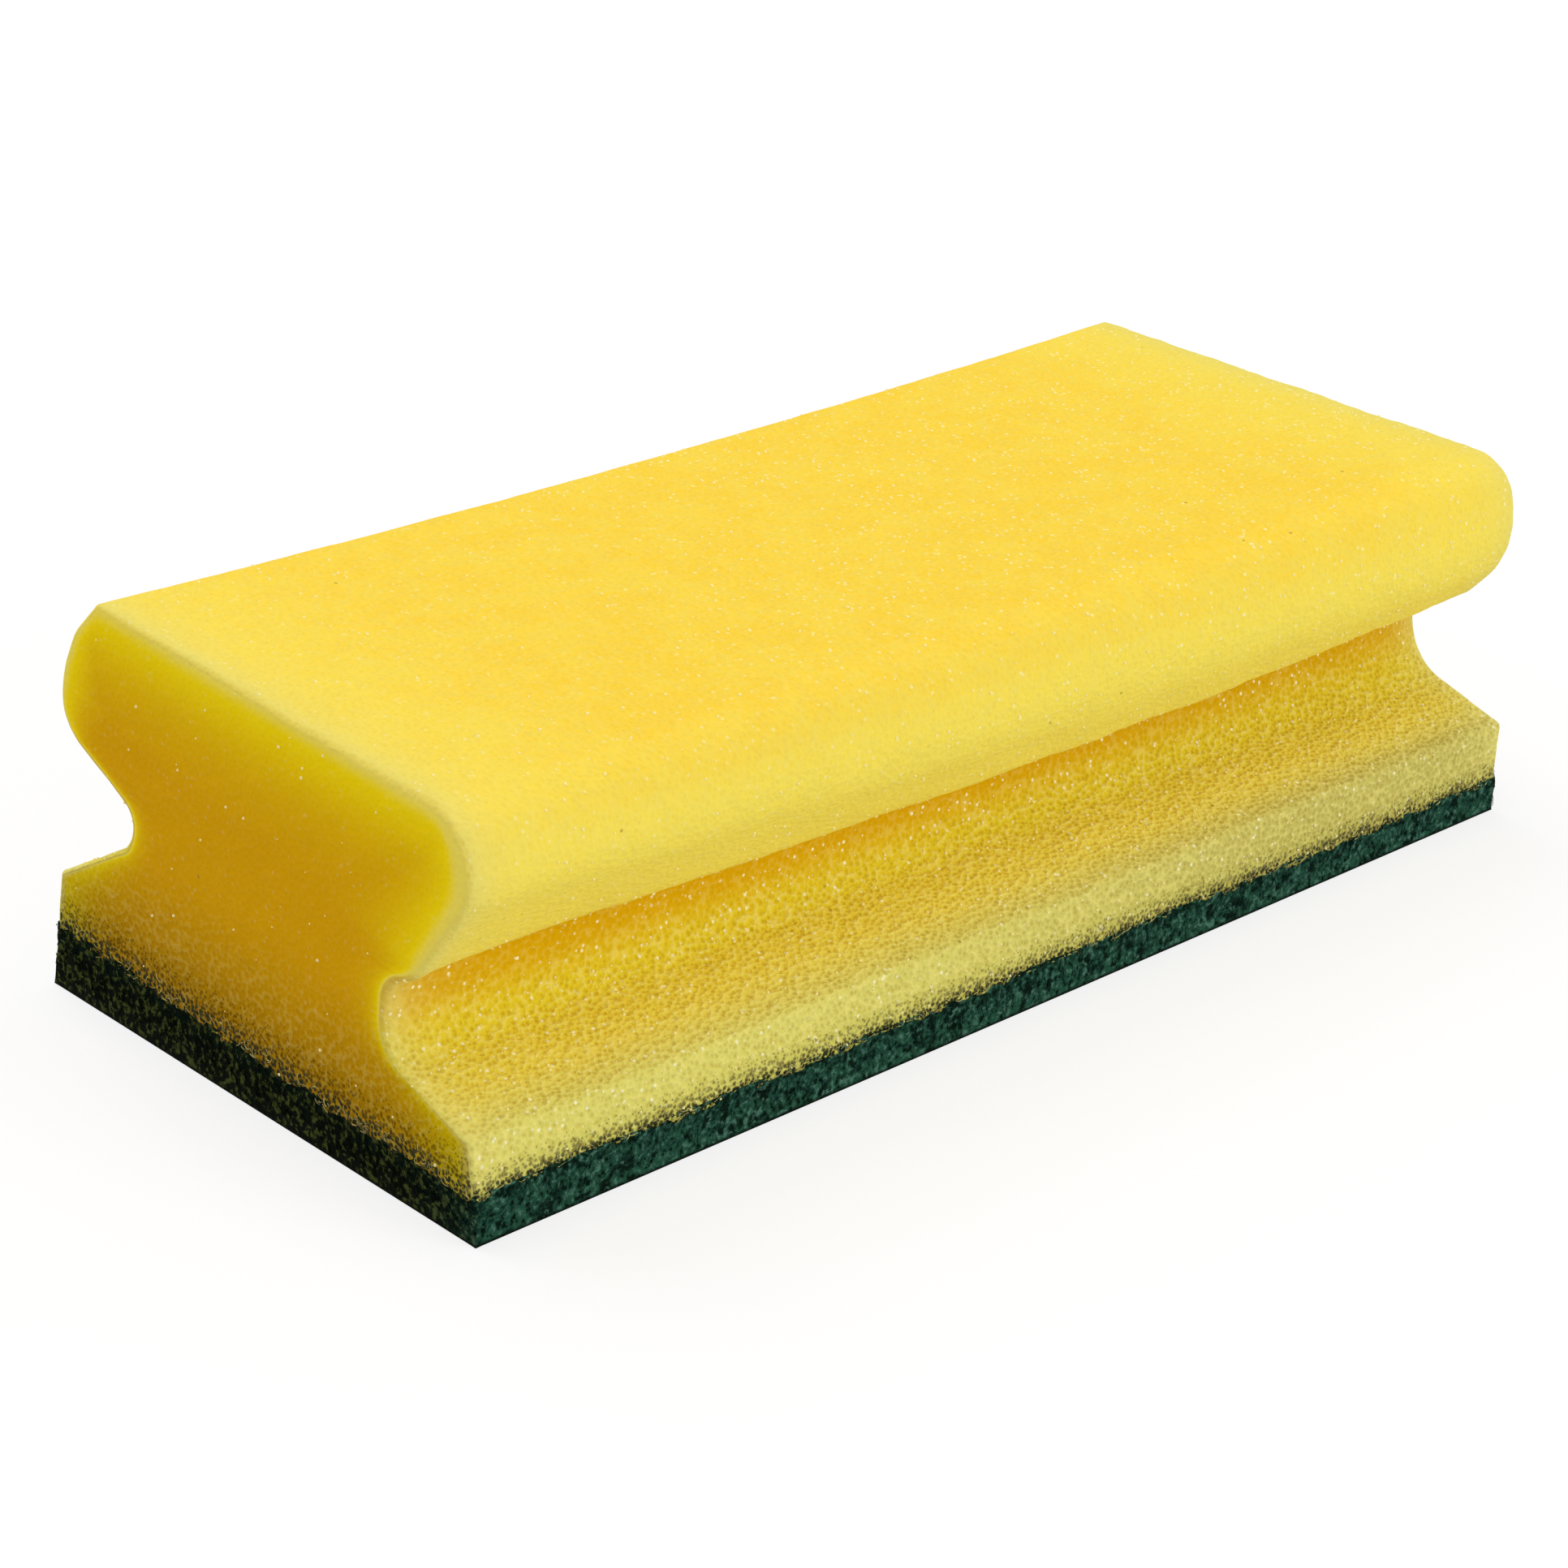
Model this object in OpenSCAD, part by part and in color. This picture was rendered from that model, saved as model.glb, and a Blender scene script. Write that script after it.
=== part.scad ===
// Cleaning sponge with a scouring pad and a finger groove along each long side.
// Length runs along X, width along Y. The origin lies under the middle of the pad.
// The front is the -Y side. Its groove lies lower than the one at the back.

/* [Block] */
// Length of foam and pad
block_l = 152; // [90:1:220]
// Width at the pad
block_w = 68; // [56:1:110]

/* [Scouring pad] */
// Thickness of the fibre pad
pad_h = 5.5; // [3:0.5:12]

/* [Foam] */
// Height of the foam above the pad, halfway along
foam_h = 37.5; // [33:0.5:60]
// How much lower the soft top stands at the +X end than at the -X end
top_fall = 2.4; // [0:0.2:4]

/* [Finger grooves] */
// Depth of the grooves from the side of the pad
groove_depth = 14; // [9:0.5:18]
// Rounding of a groove's roof
roof_r = 2.8; // [1:0.1:4]
// How far the lip under a groove leans in from the side of the pad
lip_lean = 0.8; // [0:0.1:2.5]
// Rounding of the lip's upper edge
lip_r = 0.6; // [0.3:0.1:1.8]

/* [Front side] */
// Height of the lip above the pad
front_lip_h = 5.3; // [4:0.1:9]
// Height above the pad at which the lip's face meets the groove's back
front_floor_h = 9.2; // [6:0.1:16]
// Rounding of the groove's floor
front_floor_r = 7; // [3:0.5:9]
// Depth of the groove's roof below the top
front_roof_drop = 20; // [14:0.5:24]
// Corner under the shoulder: inset from the pad's side, depth below the top, rounding
front_foot = [8.5, 19.7, 6.4]; // [0:0.1:24]
// Widest part of the shoulder: inset, depth, rounding
front_shoulder = [1.2, 9.5, 14]; // [0:0.1:24]
// Edge of the top: inset, depth, rounding
front_edge = [3, 0, 6.5]; // [0:0.1:24]

/* [Back side] */
// Height of the lip above the pad
back_lip_h = 7.1; // [4:0.1:9]
// Height above the pad at which the lip's face meets the groove's back
back_floor_h = 14; // [6:0.1:16]
// Rounding of the groove's floor
back_floor_r = 4.9; // [3:0.1:9]
// Depth of the groove's roof below the top
back_roof_drop = 18; // [14:0.5:24]
// Corner under the shoulder: inset from the pad's side, depth below the top, rounding
back_foot = [4, 13.4, 5.6]; // [0:0.1:24]
// Widest part of the shoulder: inset, depth, rounding
back_shoulder = [2, 6.6, 13]; // [0:0.1:24]
// Edge of the top: inset, depth, rounding
back_edge = [6, 0, 0.9]; // [0:0.1:24]

/* [Hidden] */
$fn = 96;
foam_colour = [0.96, 0.83, 0.27];
pad_colour = [0.13, 0.29, 0.25];
side_y = block_w / 2;
top_z = pad_h + foam_h;
fall_angle = atan(top_fall / block_l);
spare_l = 10;
waist_low = pad_h + 3;
waist_high = top_z - 12;

// Corners of one side from the pad up to the waist, each [inset, height, rounding]
function lip_side(lip_h, floor_h, floor_r) = [
    [0, pad_h, 0], [lip_lean, pad_h + lip_h, lip_r],
    [groove_depth, pad_h + floor_h, floor_r], [groove_depth, waist_high, 0]
];

// Corners of one side from the waist up to the top
function shoulder_side(roof_drop, foot, shoulder, edge) = [
    [groove_depth, waist_low, 0], [groove_depth, top_z - roof_drop, roof_r],
    below_top(foot), below_top(shoulder), below_top(edge)
];

function below_top(corner) = [corner.x, top_z - corner.y, corner.z];
function backwards(list) = [for (i = [len(list) - 1:-1:0]) list[i]];

// Closed section from the corners of the front and the back, with Y for the inset
function closed(front, back) = concat(
    [for (c = front) [c.x - side_y, c.y, c.z]],
    [for (c = backwards(back)) [side_y - c.x, c.y, c.z]]
);

lip_section = closed(
    lip_side(front_lip_h, front_floor_h, front_floor_r),
    lip_side(back_lip_h, back_floor_h, back_floor_r)
);
shoulder_section = closed(
    shoulder_side(front_roof_drop, front_foot, front_shoulder, front_edge),
    shoulder_side(back_roof_drop, back_foot, back_shoulder, back_edge)
);

function flat(v) = [v.x, v.y];
function unit(v) = v / norm(v);
function around(list, i) = list[(i + len(list)) % len(list)];

// Unit vectors from a corner to its neighbours, and half the angle between them
function to_before(list, i) = unit(flat(around(list, i - 1)) - flat(list[i]));
function to_after(list, i) = unit(flat(around(list, i + 1)) - flat(list[i]));
function half_angle(list, i) = acos(to_before(list, i) * to_after(list, i)) / 2;

// Distance from a corner to where its arc starts, at most just under half of the shorter edge
function reach(list, i) = min(
    list[i].z / tan(half_angle(list, i)),
    0.49 * min(
        norm(flat(around(list, i - 1)) - flat(list[i])), norm(flat(around(list, i + 1)) - flat(list[i]))
    )
);
function starts(list, i) = flat(list[i]) + to_before(list, i) * reach(list, i);
function ends(list, i) = flat(list[i]) + to_after(list, i) * reach(list, i);
function turns_in(list, i) = cross(to_before(list, i), to_after(list, i)) > 0;

// The slice of a corner's circle that lies between its chord and its arc
module arc_slice(list, i) {
    half = half_angle(list, i);
    r = reach(list, i) * tan(half);
    centre = flat(list[i]) + unit(to_before(list, i) + to_after(list, i)) * r / sin(half);
    intersection() {
        translate(centre) circle(r = r);
        polygon([starts(list, i), flat(list[i]), ends(list, i)]);
    }
}

// A section whose corners are true arcs, from corners listed as [y, z, rounding]
module rounded(list) {
    round_ones = [for (i = [0:len(list) - 1]) if (list[i].z > 0) i];
    difference() {
        union() {
            polygon([for (i = [0:len(list) - 1]) each
                list[i].z > 0 ? [starts(list, i), ends(list, i)] : [flat(list[i])]]);
            for (i = round_ones) if (turns_in(list, i)) arc_slice(list, i);
        }
        for (i = round_ones) if (!turns_in(list, i)) arc_slice(list, i);
    }
}

// Lays a section drawn in width and height along the length of the block
module run_along_length(length) {
    rotate([90, 0, 90]) linear_extrude(height = length, center = true) children();
}

module foam_body() {
    color(foam_colour) {
        run_along_length(block_l) rounded(lip_section);
        intersection() {
            rotate([0, fall_angle, 0]) run_along_length(block_l + spare_l) rounded(shoulder_section);
            translate([-block_l / 2, -side_y, 0]) cube([block_l, block_w, 2 * top_z]);
        }
    }
}

module scouring_pad() {
    color(pad_colour) run_along_length(block_l) translate([-side_y, 0]) square([block_w, pad_h]);
}

foam_body();
scouring_pad();
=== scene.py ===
"""Dresses a two-layer cleaning sponge: a waisted foam grip bonded to a fibre scouring pad."""

import logging
import math
from dataclasses import dataclass, field, replace
from enum import Enum

import bpy
import numpy as np
from bpy.types import Material, Mesh, Node, NodeSocket, NodeTree, Object
from mathutils import Matrix, Vector, noise


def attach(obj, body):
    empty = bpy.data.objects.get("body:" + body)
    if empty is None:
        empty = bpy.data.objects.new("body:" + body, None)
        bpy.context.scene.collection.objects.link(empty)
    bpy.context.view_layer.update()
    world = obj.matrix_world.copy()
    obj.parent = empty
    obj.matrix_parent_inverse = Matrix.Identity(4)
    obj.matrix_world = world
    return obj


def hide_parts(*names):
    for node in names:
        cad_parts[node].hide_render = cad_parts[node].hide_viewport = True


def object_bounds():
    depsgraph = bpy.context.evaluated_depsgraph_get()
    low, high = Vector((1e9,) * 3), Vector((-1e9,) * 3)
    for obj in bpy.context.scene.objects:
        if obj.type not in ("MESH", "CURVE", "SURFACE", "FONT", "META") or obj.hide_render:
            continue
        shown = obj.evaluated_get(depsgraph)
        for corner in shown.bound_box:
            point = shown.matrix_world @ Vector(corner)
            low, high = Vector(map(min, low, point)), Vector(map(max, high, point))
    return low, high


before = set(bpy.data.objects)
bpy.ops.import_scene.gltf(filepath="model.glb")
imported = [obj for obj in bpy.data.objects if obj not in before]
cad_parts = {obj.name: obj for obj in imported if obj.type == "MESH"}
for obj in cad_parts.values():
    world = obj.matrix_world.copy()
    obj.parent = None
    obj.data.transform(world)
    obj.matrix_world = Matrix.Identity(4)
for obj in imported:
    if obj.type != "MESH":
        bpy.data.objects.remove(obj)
CAD_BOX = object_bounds()

MM = 0.001
ARC_REACH = 0.49
log = logging.getLogger("sponge")


class Side(Enum):
    """The two long sides of the block, by the sign of their Y."""

    FRONT = -1
    BACK = 1


class Slot(Enum):
    """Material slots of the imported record."""

    FOAM = "yellow_foam"
    SCOURER = "green_scourer"


class Share(Enum):
    """Point attributes on a piece's mesh that steer its finish and what grows on it."""

    PAINTED_RIM_LIGHT = "painted_rim_light"
    CUT_END = "cut_end"
    LOW_END = "low_end"
    SEAM = "seam"
    TOP = "top"
    GROOVE = "groove"
    UNDER = "under"
    LIP = "lip"
    PITTED = "pitted"
    GLINT = "glint"
    STRAND = "strand"
    FIBRE = "fibre"


@dataclass(frozen=True)
class Waves:
    """Smooth random waves, with their height and length in millimetres.

    The shift makes one set of waves differ from another.
    """

    height: float
    length: float
    shift: float

    def at(self, points: np.ndarray) -> np.ndarray:
        """Samples the waves.

        Args:
            points: Places in millimetres, one row each.

        Returns:
            One value for each point, between about minus and plus the height.
        """
        shifted = points / self.length + self.shift
        return self.height * np.array([noise.noise(Vector(p)) for p in shifted])


def sum_of(waves: tuple[Waves, ...], points: np.ndarray) -> np.ndarray:
    """Adds up several sets of waves at each point."""
    return sum(each.at(points) for each in waves)


def ease(values: np.ndarray, low: float, high: float) -> np.ndarray:
    """Rises smoothly from 0 at low to 1 at high.

    Args:
        values: Numbers to map.
        low: Value that gives 0.
        high: Value that gives 1.

    Returns:
        The mapped numbers.
    """
    t = np.clip((values - low) / (high - low), 0.0, 1.0)
    return t * t * (3.0 - 2.0 * t)


def between(start: object, end: object, share: object) -> object:
    """Blends two numbers or arrays.

    Args:
        start: Value at share 0.
        end: Value at share 1.
        share: Share of the way from start to end.

    Returns:
        The blend.
    """
    return start * (1.0 - share) + end * share


@dataclass(frozen=True)
class Corner:
    """A rounded corner of one side's section, in millimetres.

    The inset is measured inwards from the pad's side and the height from the table.
    """

    inset: float
    height: float
    radius: float

    def towards(self, other: "Corner", share: float, sag: float = 0.0) -> "Corner":
        """Blends two corners.

        Args:
            other: Corner at the far end of the block.
            share: Share of the way to the far end, from 0 to 1.
            sag: How far the corner hangs down halfway along, in millimetres.

        Returns:
            The corner at that share of the length.
        """
        drop = sag * 4.0 * share * (1.0 - share)
        return Corner(
            between(self.inset, other.inset, share),
            between(self.height, other.height, share) - drop,
            between(self.radius, other.radius, share),
        )


@dataclass(frozen=True)
class GripSection:
    """Section of one long side at one end of the block, from the seam up to the top."""

    seam: Corner
    lip: Corner
    groove_floor: Corner
    groove_roof: Corner
    shoulder_foot: Corner
    shoulder: Corner
    top_edge: Corner

    def corners(self) -> list[Corner]:
        """Lists the corners from the seam up."""
        return [
            self.seam, self.lip, self.groove_floor, self.groove_roof,
            self.shoulder_foot, self.shoulder, self.top_edge,
        ]

    def towards(self, other: "GripSection", share: float, sag: "Sag") -> "GripSection":
        """Blends two sections.

        Args:
            other: Section at the far end of the block.
            share: Share of the way to the far end, from 0 to 1.
            sag: How far the corners hang down halfway along.

        Returns:
            The section at that share of the length.
        """
        drops = [0.0, 0.0, 0.0, sag.groove_roof, sag.shoulder_foot, sag.shoulder, sag.top_edge]
        pairs = zip(self.corners(), other.corners(), drops)
        return GripSection(*(a.towards(b, share, drop) for a, b, drop in pairs))

    def outline(self, rows: "RowPlan", middle: float) -> np.ndarray:
        """Walks the section from the seam to the start of the flat top.

        Args:
            rows: How many steps each straight and each round gets.
            middle: Inset of the block's middle, in millimetres.

        Returns:
            Inset and height of each point, in millimetres.
        """
        chain = self.corners() + [Corner(middle, self.top_edge.height, 0.0)]
        spots = [np.array([c.inset, c.height]) for c in chain]
        points = [spots[0]]
        for step, here in enumerate(chain[1:-1], start=1):
            arc = round_corner(spots[step - 1:step + 2], here.radius, rows.rounds[step - 1])
            start = points[-1]
            straight = rows.straights[step - 1]
            points += [start + (arc[0] - start) * k / straight for k in range(1, straight)]
            points += list(arc)
        return np.array(points)


def round_corner(spots: list[np.ndarray], radius: float, steps: int) -> np.ndarray:
    """Rounds the middle one of three points with a tangent arc.

    Args:
        spots: Point before the corner, the corner and the point after it.
        radius: Radius of the arc, made smaller where the straights are short.
        steps: Number of steps along the arc.

    Returns:
        The arc's points, from the side of the first spot.
    """
    before, corner, after = spots
    to_before, to_after = before - corner, after - corner
    reach = min(np.linalg.norm(to_before), np.linalg.norm(to_after)) * ARC_REACH
    to_before = to_before / np.linalg.norm(to_before)
    to_after = to_after / np.linalg.norm(to_after)
    half = math.acos(float(np.clip(to_before @ to_after, -1.0, 1.0))) / 2.0
    run = min(radius / math.tan(half), reach)
    radius = run * math.tan(half)
    bisector = to_before + to_after
    centre = corner + bisector / np.linalg.norm(bisector) * radius / math.sin(half)
    first = corner + to_before * run - centre
    last = corner + to_after * run - centre
    start = math.atan2(first[1], first[0])
    sweep = (math.atan2(last[1], last[0]) - start + math.pi) % (2.0 * math.pi) - math.pi
    angles = start + sweep * np.linspace(0.0, 1.0, steps + 1)
    return centre + radius * np.column_stack([np.cos(angles), np.sin(angles)])


@dataclass(frozen=True)
class RowPlan:
    """Steps of the mesh up one side: before each corner and round each corner."""

    straights: tuple[int, ...] = (8, 11, 2, 3, 8, 2)
    rounds: tuple[int, ...] = (2, 14, 7, 10, 13, 10)

    def landmarks(self) -> list[int]:
        """Finds the row halfway round each corner, and the one halfway up the lip's slope.

        Returns:
            Rows of the lip, its slope, the groove's floor and roof, and the shoulder's foot and middle.
        """
        middles, row = [], 0
        for straight, arc in zip(self.straights, self.rounds):
            middles.append(row + straight + arc // 2)
            row += straight + arc
        lip, floor, roof, foot, shoulder, _ = middles
        return [lip, (lip + floor) // 2, floor, roof, foot, shoulder]

    def top(self) -> int:
        """Gives the row where the flat top starts."""
        return sum(self.straights) + sum(self.rounds)


@dataclass(frozen=True)
class Sag:
    """How far the used foam hangs down halfway along one side, in millimetres."""

    groove_roof: float
    shoulder_foot: float
    shoulder: float
    top_edge: float


@dataclass(frozen=True)
class BoxLattice:
    """Skin of a box-shaped lattice: its points by three step numbers, and its quads."""

    steps: tuple[int, int, int]

    def skin(self) -> tuple[np.ndarray, np.ndarray]:
        """Numbers the skin's points and lists its quads, facing outwards.

        Returns:
            The three step numbers of each point, and the four points of each quad.
        """
        nx, ny, nz = self.steps
        i, j, k = np.meshgrid(*(np.arange(n + 1) for n in self.steps), indexing="ij")
        on_skin = (i == 0) | (i == nx) | (j == 0) | (j == ny) | (k == 0) | (k == nz)
        number = np.full(on_skin.shape, -1)
        number[on_skin] = np.arange(on_skin.sum())
        faces = [
            self.quads(number[:, :, 0].T), self.quads(number[:, :, nz]),
            self.quads(number[:, 0, :]), self.quads(number[:, ny, :].T),
            self.quads(number[0, :, :].T), self.quads(number[nx, :, :]),
        ]
        return np.column_stack([i[on_skin], j[on_skin], k[on_skin]]), np.vstack(faces)

    @staticmethod
    def quads(sheet: np.ndarray) -> np.ndarray:
        """Lists the quads of one sheet of numbered points.

        Args:
            sheet: Point numbers in rows and columns.

        Returns:
            Four point numbers for each quad, turning from rows to columns.
        """
        corners = [sheet[:-1, :-1], sheet[1:, :-1], sheet[1:, 1:], sheet[:-1, 1:]]
        return np.stack([c.ravel() for c in corners], axis=1)


@dataclass
class Skin:
    """A closed mesh in the making: points in millimetres, quads and point attributes."""

    name: str
    points: np.ndarray
    quads: np.ndarray
    shares: dict[Share, np.ndarray] = field(default_factory=dict)

    def mesh(self) -> Mesh:
        """Makes the Blender mesh, in metres and smooth shaded.

        Returns:
            The mesh, with the shares as point attributes.
        """
        mesh = bpy.data.meshes.new(self.name)
        mesh.from_pydata((self.points * MM).tolist(), [], self.quads.tolist())
        mesh.polygons.foreach_set("use_smooth", np.ones(len(self.quads), dtype=bool))
        for share, values in self.shares.items():
            layer = mesh.attributes.new(share.value, "FLOAT", "POINT")
            layer.data.foreach_set("value", values.astype(np.float32))
        mesh.update()
        return mesh

    def normals(self) -> np.ndarray:
        """Works out the outward direction at each point.

        Returns:
            A unit vector for each point.
        """
        a, b, c, d = (self.points[self.quads[:, n]] for n in range(4))
        face = np.cross(c - a, d - b)
        total = np.zeros_like(self.points)
        for n in range(4):
            np.add.at(total, self.quads[:, n], face)
        return total / np.maximum(np.linalg.norm(total, axis=1, keepdims=True), 1e-9)

    def swell(self, amount: np.ndarray) -> None:
        """Moves each point outwards.

        Args:
            amount: Distance for each point, in millimetres.
        """
        self.points = self.points + self.normals() * amount[:, None]


class Graph:
    """A node tree under construction."""

    def __init__(self, tree: NodeTree) -> None:
        """Keeps the tree that the nodes go into.

        Args:
            tree: Shader or geometry node tree.
        """
        self.tree = tree

    def add(self, kind: str, inputs: dict | None = None, **settings: object) -> Node:
        """Adds a node.

        Args:
            kind: Blender's name for the node type.
            inputs: Value or output socket for each input, by name or number.
            settings: Properties of the node itself.

        Returns:
            The new node.
        """
        node = self.tree.nodes.new(kind)
        for name, value in settings.items():
            setattr(node, name, value)
        for key, value in (inputs or {}).items():
            if isinstance(value, NodeSocket):
                self.tree.links.new(value, node.inputs[key])
            else:
                node.inputs[key].default_value = value
        return node

    def blend(self, share: object, low: object, high: object, way: str = "MIX") -> NodeSocket:
        """Mixes two colours.

        Args:
            share: Socket or number from 0 to 1.
            low: Colour or socket at 0.
            high: Colour or socket at 1, or what the first is multiplied by.
            way: Blender's name for the way of mixing.

        Returns:
            The mixed colour.
        """
        inputs = {0: share, 6: low, 7: high}
        return self.add("ShaderNodeMix", inputs, data_type="RGBA", blend_type=way).outputs[2]

    def span(self, value: object, low: float, high: float, to: float = 1.0) -> NodeSocket:
        """Maps a span of values to the range from 0 to a limit, smoothly.

        Args:
            value: Socket to map.
            low: Value that gives 0.
            high: Value that gives the limit.
            to: The limit.

        Returns:
            The mapped value.
        """
        inputs = {"Value": value, "From Min": low, "From Max": high, "To Max": to}
        return self.add("ShaderNodeMapRange", inputs, interpolation_type="SMOOTHSTEP").outputs[0]

    def math(self, operation: str, *values: object) -> NodeSocket:
        """Combines numbers.

        Args:
            operation: Blender's name for the operation.
            values: Sockets or numbers.

        Returns:
            The result.
        """
        return self.add("ShaderNodeMath", dict(enumerate(values)), operation=operation).outputs[0]

    def share(self, share: Share) -> NodeSocket:
        """Reads a point attribute of the piece.

        Args:
            share: The attribute.

        Returns:
            Its value.
        """
        return self.add("ShaderNodeAttribute", attribute_name=share.value).outputs["Fac"]

    def grain(self, place: object, size: float, detail: float = 2.0) -> NodeSocket:
        """Adds a noise pattern.

        Args:
            place: Coordinates to read.
            size: Size of the pattern in millimetres.
            detail: Levels of finer noise.

        Returns:
            The pattern's value from 0 to 1.
        """
        inputs = {"Vector": place, "Scale": 1.0 / (size * MM), "Detail": detail}
        return self.add("ShaderNodeTexNoise", inputs).outputs["Fac"]

    def cells(self, place: object, size: float) -> NodeSocket:
        """Adds a pattern of rounded cells.

        Args:
            place: Coordinates to read.
            size: Size of a cell in millimetres.

        Returns:
            Each point's distance from its cell's middle, as a share of the size.
        """
        inputs = {"Vector": place, "Scale": 1.0 / (size * MM), "Randomness": 1.0}
        return self.add("ShaderNodeTexVoronoi", inputs).outputs["Distance"]

    def place(self) -> NodeSocket:
        """Reads the Object coordinates."""
        return self.add("ShaderNodeTexCoord").outputs["Object"]

    def bump(self, height: object, strength: float, depth: float) -> NodeSocket:
        """Makes a pattern look raised.

        Args:
            height: The pattern.
            strength: How strongly it shows, from 0 to 1.
            depth: Its real height in millimetres.

        Returns:
            The bent normal.
        """
        inputs = {"Height": height, "Strength": strength, "Distance": depth * MM}
        return self.add("ShaderNodeBump", inputs).outputs[0]

    def surface(self, colour: object, roughness: float, gloss: float, **more: object) -> None:
        """Ends a material with a plain surface.

        Args:
            colour: Its colour.
            roughness: How matt it is, from 0 to 1.
            gloss: Its specular level.
            more: Other inputs of the surface, by name.
        """
        surface = self.add("ShaderNodeBsdfPrincipled", {
            "Base Color": colour, "Roughness": roughness, "Specular IOR Level": gloss, **more,
        })
        self.add("ShaderNodeOutputMaterial", {"Surface": surface.outputs[0]})


def new_material(name: str) -> tuple[Material, Graph]:
    """Starts a material.

    Args:
        name: The material's name.

    Returns:
        The material and its empty graph.
    """
    material = bpy.data.materials.new(name)
    material.use_nodes = True
    material.node_tree.nodes.clear()
    return material, Graph(material.node_tree)


Colour = tuple[float, float, float, float]
Band = tuple[float, float]


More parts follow.
